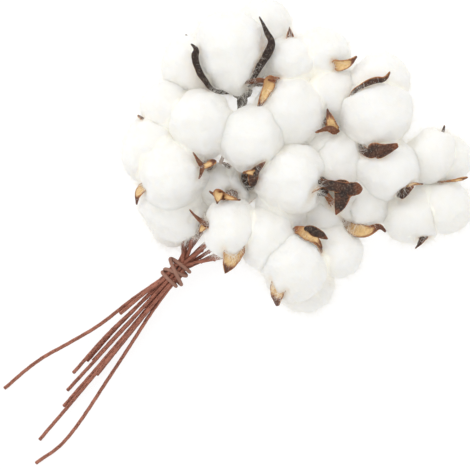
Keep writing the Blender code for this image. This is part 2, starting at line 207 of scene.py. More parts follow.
def paint(*levels):
    """A colour as the eye sees it, 0 to 255, turned into a linear one."""
    def channel(level):
        level /= 255
        return level / 12.92 if level <= 0.04045 else ((level + 0.055) / 1.055) ** 2.4
    return tuple(channel(level) for level in levels)


# ---------------- sizes and colours

def tint(name, description, default):
    return FloatVectorProperty(name=name, description=description, default=default,
                               subtype="COLOR", size=3)


def extent(name, description, default):
    return FloatProperty(name=name, description=description, default=default, unit="LENGTH")


class CottonSizes(bpy.types.PropertyGroup):
    grain: extent("Grain", "Size of the mesh cells on a lock", 0.00085)
    puff: extent("Puff", "How far a lock swells against its neighbours", 0.0014)
    fill: extent("Fill", "Extra swelling towards the other bolls", 0.0014)
    lumps: extent("Lumps", "Height of the soft lumps", 0.0016)
    fibres: IntProperty(name="Fibres", description="Loose fibres on one lock", default=1400)
    fibre_length: extent("Fibre length", "Length of a loose fibre", 0.0042)
    fibre_radius: extent("Fibre radius", "Half a wisp's thickness", 0.000045)
    white: tint("White", "Clean cotton", paint(251, 250, 245))
    # painted shade: besides a creamy tone, this colour tints the folds, where shade falls
    cream_and_fold_shade: tint("Cream", "Cotton in the folds", paint(249, 244, 233))
    dust: tint("Dust", "Stain where cotton meets a husk", paint(222, 178, 134))


class HuskSizes(bpy.types.PropertyGroup):
    thickness: extent("Thickness", "Thickness of a valve", 0.0009)
    slenderness: FloatProperty(name="Slenderness", default=0.215,
                               description="Half a valve's width over its length")
    tip_curl: extent("Tip curl", "How far a valve's tip turns out", 0.0028)
    black: tint("Black", "Weathered outside", paint(60, 49, 44))
    brown: tint("Brown", "Fresher outside", paint(136, 86, 60))
    lining: tint("Lining", "Smooth inside of a valve", paint(232, 198, 142))
    lining_dark: tint("Dark lining", "Inside near the cup", paint(176, 126, 74))
    tip: tint("Tip", "Dark tips", paint(88, 54, 44))
    rust: tint("Rust", "Dry reddish edges", paint(150, 88, 56))
    rim: tint("Rim", "Orange line along an edge", paint(214, 154, 96))


class StemSizes(bpy.types.PropertyGroup):
    radius: extent("Radius", "Half a wrapped stem's thickness", 0.00092)
    wrap_pitch: extent("Wrap pitch", "Stem length for one tape turn", 0.0062)
    wrap_step: extent("Wrap step", "Height of the tape's edge", 0.0001)
    tape: tint("Tape", "Paper tape", paint(184, 118, 96))
    # partly painted shade: this darker tape shows in the random mottling and in the crepe's creases
    tape_mottle_and_crease_shade: tint("Dark tape", "Paper tape in its creases", paint(146, 92, 74))
    steel: tint("Steel", "Cut end of the wire", paint(120, 116, 112))


class StageSizes(bpy.types.PropertyGroup):
    floor: tint("Floor", "Pale floor", (0.22, 0.22, 0.22))
    floor_glow: FloatProperty(name="Floor glow", description="Light from below the floor",
                              default=0.84)
    sky: FloatProperty(name="Sky", description="Brightness of the surroundings", default=0.8)
    key: FloatProperty(name="Key", description="Strength of the soft main light", default=1.0)
    view_width: extent("View width", "Width that the camera takes in", 0.2365)
    lens: FloatProperty(name="Lens", description="Focal length in millimetres", default=400.0)


# ---------------- shader nodes

class Value:
    """A number that varies over a surface; sums and products of it add Math nodes."""

    def __init__(self, finish, socket):
        self.finish, self.socket = finish, socket

    def _math(self, operation, first, second):
        return self.finish.node("ShaderNodeMath", {"operation": operation},
                                {0: first, 1: second})

    def __add__(self, other):
        return self._math("ADD", self, other)

    def __radd__(self, other):
        return self._math("ADD", other, self)

    def __sub__(self, other):
        return self._math("SUBTRACT", self, other)

    def __rsub__(self, other):
        return self._math("SUBTRACT", other, self)

    def __mul__(self, other):
        return self._math("MULTIPLY", self, other)

    def __rmul__(self, other):
        return self._math("MULTIPLY", other, self)


class Finish:
    """A material whose nodes are added by one method."""

    def __init__(self, name):
        self.material = bpy.data.materials.new(name)
        self.material.use_nodes = True
        self.tree = self.material.node_tree
        self.tree.nodes.clear()
        self.output = self.tree.nodes.new("ShaderNodeOutputMaterial")

    def node(self, kind, settings=None, sockets=None, out=0):
        """Adds a node: its settings first, then the values or links of its sockets."""
        node = self.tree.nodes.new(kind)
        for name, value in (settings or {}).items():
            setattr(node, name, value)
        for name, value in (sockets or {}).items():
            if isinstance(value, Value):
                self.tree.links.new(value.socket, node.inputs[name])
            else:
                node.inputs[name].default_value = value
        return Value(self, node.outputs[out])

    def place(self):
        """Object coordinates."""
        return self.node("ShaderNodeTexCoord", out="Object")

    def noise(self, scale, detail=3.0, roughness=0.55, at=None, distortion=0.0):
        return self.node("ShaderNodeTexNoise", None,
                         {"Vector": at or self.place(), "Scale": scale, "Detail": detail,
                          "Roughness": roughness, "Distortion": distortion})

    def stretched(self, vector, scale):
        return self.node("ShaderNodeMapping", None, {"Vector": vector, "Scale": scale})

    def between(self, value, low, high):
        """0 at low and below, 1 at high and above."""
        return self.node("ShaderNodeMapRange", {"clamp": True},
                         {"Value": value, "From Min": low, "From Max": high})

    def blend(self, share, first, second):
        def colour(value):
            return value if isinstance(value, Value) else (*value, 1)
        return self.node("ShaderNodeMix", {"data_type": "RGBA"},
                         {0: share, 6: colour(first), 7: colour(second)}, out=2)

    def kept(self, name):
        """A number kept on the mesh under that name."""
        return self.node("ShaderNodeAttribute", {"attribute_name": name}, out="Fac")

    def bump(self, height, distance, strength=1.0):
        return self.node("ShaderNodeBump", None,
                         {"Height": height, "Distance": distance, "Strength": strength})

    def shade(self, sockets):
        shader = self.node("ShaderNodeBsdfPrincipled", None, sockets)
        self.tree.links.new(shader.socket, self.output.inputs["Surface"])
        return self.material


PAINTED_FOLD_GLOW = 0.13                # strength of the painted glow in the folds, which stands in for light through the loose cotton


def cotton_finish(sizes):
    finish = Finish("cotton_fluff")
    cloud = finish.noise(160, 4, 0.6)
    fleck = finish.noise(520, 2, 0.5)
    tone = finish.blend(finish.between(cloud, 0.7, 0.4) * 0.3, sizes.white, sizes.cream_and_fold_shade)
    fold = finish.kept("fold")
    # painted shade: the folds between locks and bolls are tinted cream
    tone = finish.blend(fold * 0.5, tone, sizes.cream_and_fold_shade)
    stain = finish.kept("near_husk") * finish.between(cloud, 0.25, 0.7)
    tone = finish.blend(stain * 0.6, tone, sizes.dust)
    seed_dust = finish.node("ShaderNodeTexVoronoi", {"feature": "F1"},
                            {"Vector": finish.place(), "Scale": 48.0, "Randomness": 1.0})
    speck = finish.between(seed_dust, 0.022, 0.012) * finish.between(fleck, 0.45, 0.55)
    tone = finish.blend(speck * 0.6, tone, sizes.dust)
    staple = finish.stretched(finish.place(), (1.0, 0.35, 0.6))
    tangle = finish.noise(1500, 5, 0.7, at=staple, distortion=1.2)
    tuft = finish.noise(420, 3, 0.6, distortion=0.8)
    normal = finish.bump(tangle * 0.6 + tuft, 0.0006, 0.55)
    # painted light: an emission makes the folds glow, as if lit through the loose cotton
    through = finish.blend(fold * (0.75 + cloud * 0.5), (0.0, 0.0, 0.0), sizes.white)
    return finish.shade({"Base Color": tone, "Roughness": 1.0, "Normal": normal,
                         "Emission Color": through, "Emission Strength": PAINTED_FOLD_GLOW,
                         "Subsurface Weight": 0.85, "Subsurface Radius": (1.0, 0.93, 0.82),
                         "Subsurface Scale": 0.011, "Specular IOR Level": 0.1,
                         "Sheen Weight": 0.35, "Sheen Roughness": 0.6})


def fibre_finish(sizes):
    finish = Finish("cotton_wisps")
    tone = finish.blend(finish.noise(300, 2), sizes.cream_and_fold_shade, sizes.white)
    return finish.shade({"Base Color": tone, "Roughness": 0.8, "Specular IOR Level": 0.2,
                         "Sheen Weight": 0.6, "Sheen Roughness": 0.5})


def husk_outside_finish(sizes):
    finish = Finish("husk_outside")
    warmth, along, across = (finish.kept(name) for name in ("warmth", "along", "across"))
    grain = finish.noise(1000, 5, 0.75)
    mottle = finish.noise(260, 4, 0.65)
    fresh = finish.between(warmth, 0.0, 0.2)
    base = finish.blend(finish.between(warmth + (mottle - 0.5) * 1.2, 0.1, 1.1),
                        sizes.black, sizes.brown)
    base = finish.blend(finish.between(across + (mottle - 0.5) * 0.6, 0.66, 0.95) * fresh * 0.7,
                        base, sizes.rust)
    base = finish.blend(finish.between(across + (grain - 0.5) * 0.4, 0.86, 1.0) * fresh, base,
                        sizes.rim)
    base = finish.blend(finish.between(along + (mottle - 0.5) * 0.3, 0.8, 1.0) * fresh * 0.7,
                        base, sizes.rust)
    worn = finish.blend(finish.between(grain, 0.53, 0.64) * 0.45, base, paint(164, 146, 128))
    pits = finish.blend(finish.between(grain, 0.47, 0.37) * 0.7, worn, paint(26, 19, 16))
    ribs = finish.noise(700, 4, 0.65, at=finish.stretched(finish.place(), (1.0, 0.5, 0.35)))
    normal = finish.bump(grain * 0.7 + ribs, 0.0007, 0.9)
    return finish.shade({"Base Color": pits, "Roughness": 0.72 + grain * 0.25,
                         "Normal": normal, "Specular IOR Level": 0.35})


def husk_inside_finish(sizes):
    finish = Finish("husk_lining")
    along, across = finish.kept("along"), finish.kept("across")
    streak = finish.noise(900, 3, 0.6, at=finish.stretched(finish.place(), (0.5, 1.0, 0.3)))
    mottle = finish.noise(240, 3, 0.6)
    tone = finish.blend(finish.between(along + (mottle - 0.5) * 0.3, 0.0, 0.4),
                        sizes.lining_dark, sizes.lining)
    tone = finish.blend(finish.between(streak, 0.48, 0.64) * 0.4, tone, sizes.lining_dark)
    tone = finish.blend(finish.between(streak, 0.38, 0.25) * 0.6, tone, paint(240, 216, 168))
    edge = finish.between(across + (mottle - 0.5) * 0.5, 0.76, 1.0)
    tone = finish.blend(edge * 0.75, tone, sizes.rust)
    foot = finish.between(along + (mottle - 0.5) * 0.1, 0.2, 0.06)
    tone = finish.blend(foot * 0.8, tone, sizes.rust)
    point = along + (mottle - 0.5) * 0.3 + (across - 0.5) * 0.1
    tone = finish.blend(finish.between(point, 0.6, 0.69) * 0.9, tone, sizes.rust)
    tone = finish.blend(finish.between(point, 0.65, 0.76) * 0.85, tone, sizes.tip)
    normal = finish.bump(streak, 0.0004, 0.8)
    return finish.shade({"Base Color": tone, "Roughness": 0.5 + mottle * 0.2,
                         "Normal": normal, "Specular IOR Level": 0.45})


def husk_edge_finish(sizes):
    finish = Finish("husk_edge")
    grain = finish.noise(1100, 4, 0.7)
    warmth = finish.kept("warmth")
    edge = finish.blend(finish.between(warmth, 0.0, 0.25), paint(112, 88, 66), sizes.rim)
    tone = finish.blend(finish.between(grain, 0.35, 0.6), sizes.tip, edge)
    return finish.shade({"Base Color": tone, "Roughness": 0.8,
                         "Normal": finish.bump(grain, 0.0004, 0.8)})


def tape_finish(sizes):
    finish = Finish("paper_tape")
    spread = finish.node("ShaderNodeUVMap", {"uv_map": "UVMap"})
    apart = finish.node("ShaderNodeSeparateXYZ", None, {"Vector": spread})
    around = finish.node("ShaderNodeSeparateXYZ", None, {"Vector": spread}, out=1)
    phase = finish.node("ShaderNodeMath", {"operation": "FRACT"}, {0: around - apart + 40.0})
    mottle = finish.noise(210, 4, 0.65)
    crepe = finish.noise(14, 5, 0.7, at=finish.stretched(spread, (6.0, 1.4, 1.0)))
    # darker with the random mottling, and painted shade in the crepe's creases
    tone = finish.blend(finish.between(mottle + (crepe - 0.5) * 0.6, 0.3, 0.68),
                        sizes.tape_mottle_and_crease_shade, sizes.tape)
    fibre = finish.noise(5, 4, 0.6, at=finish.stretched(spread, (0.4, 3.5, 1.0)))
    tone = finish.blend(finish.between(fibre, 0.5, 0.3) * 0.55, tone, paint(104, 62, 50))
    lap = finish.between(phase, 0.1, 0.0) + finish.between(phase, 0.94, 1.0)
    tone = finish.blend(lap * 0.3, tone, paint(96, 58, 46))
    # painted highlight on the crepe's ridges
    tone = finish.blend(finish.between(crepe, 0.58, 0.74) * 0.3, tone, paint(196, 138, 114))
    normal = finish.bump(crepe + mottle * 0.5, 0.0003, 0.8)
    return finish.shade({"Base Color": tone, "Roughness": 0.5 + crepe * 0.3,
                         "Normal": normal, "Specular IOR Level": 0.4})


def steel_finish(sizes):
    finish = Finish("cut_wire")
    scratch = finish.noise(2600, 3, 0.6)
    tone = finish.blend(scratch, paint(74, 66, 60), sizes.steel)
    return finish.shade({"Base Color": tone, "Metallic": 0.9, "Roughness": 0.35 + scratch * 0.3})


def floor_finish(sizes):
    finish = Finish("pale_floor")
    cloud = finish.noise(3.0, 2, 0.5)
    tone = finish.blend(cloud, sizes.floor, tuple(c * 1.01 for c in sizes.floor))
    return finish.shade({"Base Color": tone, "Roughness": 0.9, "Specular IOR Level": 0.0,
                         "Emission Color": (1, 1, 1, 1), "Emission Strength": sizes.floor_glow})


# ---------------- placing

def plan_to_frame():
    """From the plan, in metres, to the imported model's own place."""
    low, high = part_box("binding_wire")
    tie = (low + high) / 2
    turn = Matrix.Rotation(-math.radians(PLAN_HEADING), 4, "Z")
    return Matrix.Translation((tie.x, tie.y, tie.z - BUNDLE_HEIGHT * MM)) @ turn


PLAN = plan_to_frame()


def at(point):
    """A point of the plan, in millimetres, as a place in the frame."""
    return PLAN @ (Vector(point) * MM)


def ease(share):
    share = min(max(share, 0.0), 1.0)
    return share * share * (3 - 2 * share)


def show(name, mesh, finishes=()):
    obj = bpy.data.objects.new(name, mesh)
    bpy.context.scene.collection.objects.link(obj)
    for finish in finishes:
        mesh.materials.append(finish)
    return obj


def to_mesh(bm, name, smooth=True):
    mesh = bpy.data.meshes.new(name)
    bm.to_mesh(mesh)
    bm.free()
    if smooth:
        mesh.shade_smooth()
    return mesh


def applied(obj):
    """The object's mesh with its modifiers applied; the object itself is removed."""
    graph = bpy.context.evaluated_depsgraph_get()
    mesh = bpy.data.meshes.new_from_object(obj.evaluated_get(graph))
    bpy.data.objects.remove(obj, do_unlink=True)
    return mesh


def merged_copy(node_name):
    """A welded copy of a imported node's mesh."""
    bm = bmesh.new()
    bm.from_mesh(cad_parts[node_name].data)
    bmesh.ops.remove_doubles(bm, verts=bm.verts, dist=WELD_GAP * MM)
    return bm


def one_surface(meshes):
    """The meshes together, to measure distances from."""
    whole = bmesh.new()
    for mesh in meshes:
        whole.from_mesh(mesh)
    tree = BVHTree.FromBMesh(whole)
    whole.free()
    return tree


def lock_nodes(boll):
    return [f"lock_{boll.name}{n + 1}" for n in range(len(boll.locks))]


# ---------------- cotton

NEAR_HUSK = 0.0032               # how far from a husk the cotton keeps back
NEAR_BOLL = 0.006                # how far from another boll the cotton starts to fill the gap
FOLD_SPREAD = 14                 # how many mesh cells wide a fold's painted shade and painted glow run out
FOLD_DEPTH = 0.00001             # hollowness of the mesh where a fold counts in full
FLOOR_CLEARANCE = 0.00025
WELD_GAP = 0.005                 # millimetres
SOFTEN_ROUNDS = 14
HUSK_LUMPS = 0.35                # share of the lumps that is left right beside a husk
WISP_BENDS = (0.35, 0.6, -0.25)  # how far a wisp of unit length arches
WISP_LENGTHS = (0.5, 1.5)        # shortest and longest wisp over the fibre length
WISP_RISES = (0.12, 0.75)        # how steeply a wisp stands off the cotton
WISP_ROOT = 0.15                 # millimetres of a wisp below the cotton's surface
HUSK_WEIGHT = 3.5                # how much likelier a wisp is beside a husk
HUSK_REACH = 0.3                 # from this reach up, a wisp leans over to the husk
HUSK_PULL = 1.5


def lumpy(point, height):
    """Soft lumps, folds and tufts, about as high as asked."""
    broad = noise.noise(point / (13 * MM))
    middle = noise.noise(point / (5.2 * MM) + Vector((7, 1, 3)))
    small = noise.noise(point / (2.3 * MM) + Vector((2, 9, 5)))
    return height * (broad + 0.42 * middle + 0.2 * small)


def fold_amounts(bm):
    """How deep in a fold each vertex lies, 0 to 1, spread softly over its surroundings."""
    ends = np.array([[v.index for v in edge.verts] for edge in bm.edges])
    places = np.array([v.co for v in bm.verts])
    normals = np.array([v.normal for v in bm.verts])
    shared = np.bincount(ends.ravel(), minlength=len(places))

    def around(values):
        first, second = ends.T
        total = np.bincount(first, values[second], len(places))
        return (total + np.bincount(second, values[first], len(places))) / shared

    middles = np.stack([around(axis) for axis in places.T], axis=1)
    depth = ((middles - places) * normals).sum(axis=1)
    for _ in range(FOLD_SPREAD):
        depth = (depth + around(depth)) / 2
    return np.clip(depth / FOLD_DEPTH, 0.0, 1.0)


def fluff_mesh(boll, sizes, husks):
    """Cotton grown from a boll's packed locks: run together, swollen, lumpy and soft."""
    whole = bmesh.new()
    for node_name in lock_nodes(boll):
        lock = to_mesh(merged_copy(node_name), "lock")
        whole.from_mesh(lock)
        bpy.data.meshes.remove(lock)
    blank = show("blank", to_mesh(whole, "blank"))
    grain = blank.modifiers.new("grain", "REMESH")
    grain.mode = "VOXEL"
    grain.voxel_size = sizes.grain
    soften = blank.modifiers.new("soften", "SMOOTH")
    soften.factor = 0.5
    soften.iterations = SOFTEN_ROUNDS
    mesh = applied(blank)
    bm = bmesh.new()
    bm.from_mesh(mesh)
    bpy.data.meshes.remove(mesh)
    bm.normal_update()
    near_layer = bm.verts.layers.float.new("near_husk")
    fold_layer = bm.verts.layers.float.new("fold")
    others = one_surface(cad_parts[node_name].data for other in BOLLS
                         if other.name != boll.name for node_name in lock_nodes(other))
    folds = fold_amounts(bm)
    moves = []
    for vert, fold in zip(bm.verts, folds):
        away = husks.find_nearest(vert.co)[3]
        clear = ease(away / NEAR_HUSK)
        vert[near_layer] = 1 - ease(away / (NEAR_HUSK * 0.8))
        crowd = 1 - ease(others.find_nearest(vert.co)[3] / NEAR_BOLL)
        # the fold amount drives the cotton's painted fold shade and painted fold glow
        vert[fold_layer] = max(crowd, fold)
        swell = ((sizes.puff + sizes.fill * crowd) * clear
                 + lumpy(vert.co, sizes.lumps) * (HUSK_LUMPS + (1 - HUSK_LUMPS) * clear))
        moves.append(vert.normal * swell)
    for vert, move in zip(bm.verts, moves):
        vert.co += move
    bmesh.ops.smooth_vert(bm, verts=bm.verts, factor=0.35, use_axis_x=True, use_axis_y=True,
                          use_axis_z=True)
    for vert in bm.verts:
        vert.co.z = max(vert.co.z, CAD_BOX[0].z + FLOOR_CLEARANCE)
    bmesh.ops.recalc_face_normals(bm, faces=bm.faces)
    return to_mesh(bm, f"cotton_{boll.name}")


def fibre_mesh(radius, bend):
    """One wisp of unit length: a thin tapered sliver that arches back."""
    bm = bmesh.new()
    bmesh.ops.create_cone(bm, cap_ends=True, segments=3, radius1=radius, radius2=radius * 0.3,
                          depth=1)
    long_edges = [e for e in bm.edges if e.calc_length() > 0.5]
    bmesh.ops.subdivide_edges(bm, edges=long_edges, cuts=2)
    for vert in bm.verts:
        vert.co.z += 0.5
        vert.co.x += bend * vert.co.z ** 2
    return to_mesh(bm, "fibre", smooth=False)


def add_fibres(bm, mesh, count, sizes, husks, dice):
    """Scatters wisps over the cotton, leaning along it; longer ones reach over the husks."""
    slivers = [fibre_mesh(sizes.fibre_radius / sizes.fibre_length, bend) for bend in WISP_BENDS]
    faces = list(mesh.polygons)
    near = [mesh.attributes["near_husk"].data[f.vertices[0]].value for f in faces]
    weights = [face.area * (1 + HUSK_WEIGHT * n) for face, n in zip(faces, near)]
    chosen = dice.choices(range(len(faces)), weights, k=count)
    for number in chosen:
        face = faces[number]
        sliver = dice.choice(slivers)
        normal = face.normal
        lean = Vector([dice.uniform(-1, 1) for _ in range(3)])
        reach = near[number] * dice.random()
        if reach > HUSK_REACH:
            towards = husks.find_nearest(face.center)[0] - face.center
            lean += towards.normalized() * HUSK_PULL
        lean = (lean - normal * lean.dot(normal)).normalized()
        rise = dice.uniform(*WISP_RISES)
        forward = (lean + normal * rise).normalized()
        side = forward.cross(normal).normalized()
        down = side.cross(forward)
        length = sizes.fibre_length * dice.uniform(*WISP_LENGTHS) * (1 + 0.6 * reach)
        turn = Matrix((down, side, forward)).transposed().to_4x4()
        start = face.center - normal * WISP_ROOT * MM
        place = Matrix.Translation(start) @ turn @ Matrix.Scale(length, 4)
        low = min((place @ Vector((x, 0, z))).z
                  for x, z in ((0, 0), (max(WISP_BENDS), 1), (min(WISP_BENDS), 1), (0, 1)))
        if low < CAD_BOX[0].z + FLOOR_CLEARANCE:
            continue
        copy = sliver.copy()
        copy.transform(place)
        bm.from_mesh(copy)
        bpy.data.meshes.remove(copy)
    for sliver in slivers:
        bpy.data.meshes.remove(sliver)


class COTTON_OT_locks(bpy.types.Operator):
    """Build the cotton locks and the loose fibres on them"""
    bl_idname = "cotton.locks"
    bl_label = "Cotton Locks"

    def execute(self, context):
        sizes = context.scene.cotton_sizes
        fluff, wisps = cotton_finish(sizes), fibre_finish(sizes)
        husks = one_surface(bpy.data.objects[f"husk_{boll.name}"].data for boll in BOLLS)
        dice = random.Random(SEED)
        for boll in BOLLS:
            mesh = fluff_mesh(boll, sizes, husks)
            piece = show(f"cotton_{boll.name}", mesh, [fluff])
            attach(piece, "root")
            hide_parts(*[f"lock_{boll.name}{n + 1}" for n in range(len(boll.locks))])
            loose = bmesh.new()
            count = sizes.fibres * len(boll.locks) // 1
            add_fibres(loose, mesh, count, sizes, husks, dice)
            piece = show(f"fibres_{boll.name}", to_mesh(loose, "fibres", smooth=False), [wisps])
            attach(piece, "root")
        return {"FINISHED"}


# ---------------- husks

CUP_RADIUS = 5.0
CUP_FLATNESS = 0.75
NECK_RADIUS = 1.9
VALVE_HOLLOW = 0.5               # depth of a valve's hollow over its half width
VALVE_STEPS = 34                 # mesh cells along a valve
VALVE_CELLS = 10                 # mesh cells across it
CLAW = 0.42                      # width of a valve's foot over its greatest half width
FOOT_INSET = 0.45                # where in the cup a valve starts, over the cup's radius
HIDDEN_FOOT = 0.05               # share of a hidden valve that is its foot
SHORTEST_FOOT = 3.0              # millimetres; a shorter foot starts in the middle of the cup
COURSE_STEP = 0.5                # millimetres
OUTSIDE, INSIDE, EDGE = 0, 1, 2


def boll_axis(boll):
    middle = sum((Vector(lock) for lock in boll.locks), Vector()) / len(boll.locks)
    return (middle - Vector(boll.cup)).normalized()


def valve_width(along, foot, peak, blunt):
    """A valve's outline: a narrow foot, broadest at its peak and drawn out to a point."""
    shoulder = CLAW + 0.15
    if along < foot:
        return CLAW + (shoulder - CLAW) * ease(along / foot)
    share = (along - foot) / (1 - foot)
    if share < peak:
        return shoulder + (1 - shoulder) * ease(share / peak)
    rest = min((share - peak) / (1 - peak), 1.0)
    return (1 - rest ** (1.15 + 2 * blunt)) ** (0.95 - 0.45 * blunt) + 0.03


def hidden_course(boll, tip):
    """Foot, course and side of a valve that follows the cotton straight to its tip."""
    axis = boll_axis(boll)
    cup = Vector(boll.cup)
    reach = Vector(tip) - cup
    forward = axis * reach.dot(axis)
    outward = reach - forward
    root = cup + outward.normalized() * CUP_RADIUS * FOOT_INSET
    bend = root + outward * 0.75 + forward * 0.2
    course = []
    for step in range(VALVE_STEPS + 1):
        t = step / VALVE_STEPS
        course.append(root * (1 - t) ** 2 + bend * 2 * t * (1 - t) + Vector(tip) * t ** 2)
    return HIDDEN_FOOT, course, outward.cross(axis).normalized()


def shown_course(boll, valve):
    """Foot and course of a valve that comes out between the locks."""
    points = [Vector(p) for p in valve.points]
    cup = Vector(boll.cup)
    start = cup + (points[0] - cup).normalized() * CUP_RADIUS * FOOT_INSET
    if (points[0] - start).length < SHORTEST_FOOT:
        start = cup
    line = smooth_route([start] + points, COURSE_STEP)
    lengths = [0.0]
    for here, there in zip(line, line[1:]):
        lengths.append(lengths[-1] + (there - here).length)
    nearest = min(range(len(line)), key=lambda n: (line[n] - points[0]).length)
    course, number = [], 0
    for step in range(VALVE_STEPS + 1):
        wanted = lengths[-1] * step / VALVE_STEPS
        while number < len(line) - 2 and lengths[number + 1] < wanted:
            number += 1
        span = lengths[number + 1] - lengths[number]
        course.append(line[number].lerp(line[number + 1], (wanted - lengths[number]) / span))
    return lengths[nearest] / lengths[-1], course, None


def valve_mesh(boll, valve, number, sizes):
    """A hollow woody blade: dark outside, pale lining, dry edges and a tip that turns out."""
    if valve.half_width:
        foot, course, fixed_side = shown_course(boll, valve)
        half_width = valve.half_width
    else:
        tip = valve.points[0]
        foot, course, fixed_side = hidden_course(boll, tip)
        half_width = (Vector(tip) - Vector(boll.cup)).length * sizes.slenderness
    shift = Vector((number * 3.1, ord(boll.name), 0))
    roll = math.radians(valve.roll)
    bm = bmesh.new()
    bm.loops.layers.uv.verify()
    bmesh.ops.create_grid(bm, x_segments=VALVE_STEPS, y_segments=VALVE_CELLS,
                          size=1, calc_uvs=True)
    along_layer = bm.verts.layers.float.new("along")
    across_layer = bm.verts.layers.float.new("across")
    frames = []
    side = fixed_side
    for step, point in enumerate(course):
        ahead, behind = course[min(step + 1, VALVE_STEPS)], course[max(step - 1, 0)]
        tangent = (ahead - behind).normalized()
        if fixed_side is None:
            level = Vector((0, 0, 1)).cross(tangent)
            flat = level.normalized() if level.length > 0.35 else (side or Vector((1, 0, 0)))
            raised = tangent.cross(flat)
            side = (flat * math.cos(roll) + raised * math.sin(roll)).normalized()
        frames.append((point, tangent, side))
    for vert in bm.verts:
        along, across = (vert.co.x + 1) / 2, vert.co.y
        point, tangent, side = frames[round(along * VALVE_STEPS)]
        inward = side.cross(tangent)
        size = min(1.0, half_width / 4)
        wander = noise.noise(Vector((along * 5, across * 0.6, 0)) + shift) * size
        wave = noise.noise(Vector((along * 7, across * 2.5, 4)) + shift) * size
        ragged = 1 + 0.16 * noise.noise(Vector((along * 16, across, 9)) + shift)
        width = half_width * valve_width(along, foot, valve.peak, valve.blunt) * ragged
        hollow = VALVE_HOLLOW * width * across * across
        curl = sizes.tip_curl / MM * size * max(0.0, (along - 0.8) / 0.2) ** 2
        rib = 0.35 * math.exp(-(across / 0.16) ** 2) * (1 - along)
        if valve.lining:
            hollow, curl = -hollow, -curl
        vert.co = (point + side * (across * width + wander * 0.9 * along)
                   + inward * (hollow + wave * 0.6 - curl - rib))
        vert[along_layer] = max(0.0, (along - foot) / (1 - foot))
        vert[across_layer] = abs(across)
    bmesh.ops.transform(bm, matrix=PLAN @ Matrix.Scale(MM, 4), verts=bm.verts)
    blade = show("blade", to_mesh(bm, "blade"))
    shell = blade.modifiers.new("thickness", "SOLIDIFY")
    shell.thickness = sizes.thickness
    shell.offset = 0.0
    shell.material_offset = INSIDE - OUTSIDE
    shell.material_offset_rim = EDGE
    for _ in range(EDGE + 1):
        blade.data.materials.append(None)
    smooth = blade.modifiers.new("smooth", "SUBSURF")
    smooth.levels = smooth.render_levels = 1
    mesh = applied(blade)
    if valve.lining:
        turned = {OUTSIDE: INSIDE, INSIDE: OUTSIDE, EDGE: EDGE}
        for face in mesh.polygons:
            face.material_index = turned[face.material_index]
    return mesh


def stalk_mesh(cup, neck):
    """The neck alone, from the cup down to the stem."""
    run = neck - cup
    bm = bmesh.new()
    bmesh.ops.create_cone(bm, cap_ends=True, segments=20, radius1=NECK_RADIUS * 1.5,
                          radius2=NECK_RADIUS, depth=run.length)
    long_edges = [e for e in bm.edges if abs(e.verts[0].co.z - e.verts[1].co.z) > 1]
    bmesh.ops.subdivide_edges(bm, edges=long_edges, cuts=14)
    turn = run.to_track_quat("Z", "Y").to_matrix().to_4x4()
    bmesh.ops.transform(bm, matrix=Matrix.Translation(cup + run / 2) @ turn, verts=bm.verts)
    return to_mesh(bm, "stalk")


def knob_mesh(boll, sizes):
    """The cup and the knobbly neck below it."""
    cup, neck = Vector(boll.cup), Vector(boll.neck)
    axis = boll_axis(boll)
    bm = bmesh.new()
    bm.verts.layers.float.new("along")
    bm.verts.layers.float.new("across")
    bmesh.ops.create_uvsphere(bm, u_segments=30, v_segments=18, radius=CUP_RADIUS)
    turn = axis.to_track_quat("Z", "Y").to_matrix().to_4x4()
    for vert in bm.verts:
        angle = math.atan2(vert.co.y, vert.co.x)
        vert.co *= 1 + 0.07 * math.cos(5 * angle) * (1 - abs(vert.co.z) / CUP_RADIUS)
    flat = Matrix.Diagonal((1, 1, CUP_FLATNESS, 1))
    bmesh.ops.transform(bm, matrix=Matrix.Translation(cup) @ turn @ flat, verts=bm.verts)
    bm.from_mesh(stalk_mesh(cup, neck))
    bm.normal_update()
    for vert in bm.verts:
        rough = noise.noise(vert.co / 2.4) * 0.5 + noise.noise(vert.co / 0.9) * 0.22
        vert.co += vert.normal * rough
    bmesh.ops.transform(bm, matrix=PLAN @ Matrix.Scale(MM, 4), verts=bm.verts)
    return to_mesh(bm, "knob")


def husk_mesh(boll, sizes):
    bm = bmesh.new()
    parts = [knob_mesh(boll, sizes)]
    parts += [valve_mesh(boll, valve, n, sizes) for n, valve in enumerate(boll.valves)]
    for part in parts:
        bm.from_mesh(part)
        bpy.data.meshes.remove(part)
    warmth = bm.verts.layers.float.new("warmth")
    bm.normal_update()
    for vert in bm.verts:
        vert[warmth] = boll.warmth
        vert.co += vert.normal * noise.noise(vert.co / (1.1 * MM)) * 0.12 * MM
    return to_mesh(bm, f"husk_{boll.name}")


class COTTON_OT_husks(bpy.types.Operator):
    """Build the woody husks: cup, neck and valves"""
    bl_idname = "cotton.husks"
    bl_label = "Husks"

    def execute(self, context):
        sizes = context.scene.husk_sizes
        finishes = [husk_outside_finish(sizes), husk_inside_finish(sizes),
                    husk_edge_finish(sizes)]
        for boll in BOLLS:
            mesh = husk_mesh(boll, sizes)
            piece = show(f"husk_{boll.name}", mesh, finishes)
            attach(piece, "root")
            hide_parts(f"burr_{boll.name}")
        return {"FINISHED"}


# ---------------- stems and binding

RING_STEP = 0.75 * MM
SIDES = 14
WANDER, WANDER_SPAN = 0.22, 16   # millimetres that a stem strays, and over what length
STEEL_SHARE = 0.45               # width of the tape round the steel core over the stem's radius
STEEL_OUT = 0.25                 # millimetres of steel beyond the tape
TIE_HALF_WIDTH, TIE_HALF_HEIGHT = 4.95, 3.95
TIE_STEP = RING_STEP * 0.7


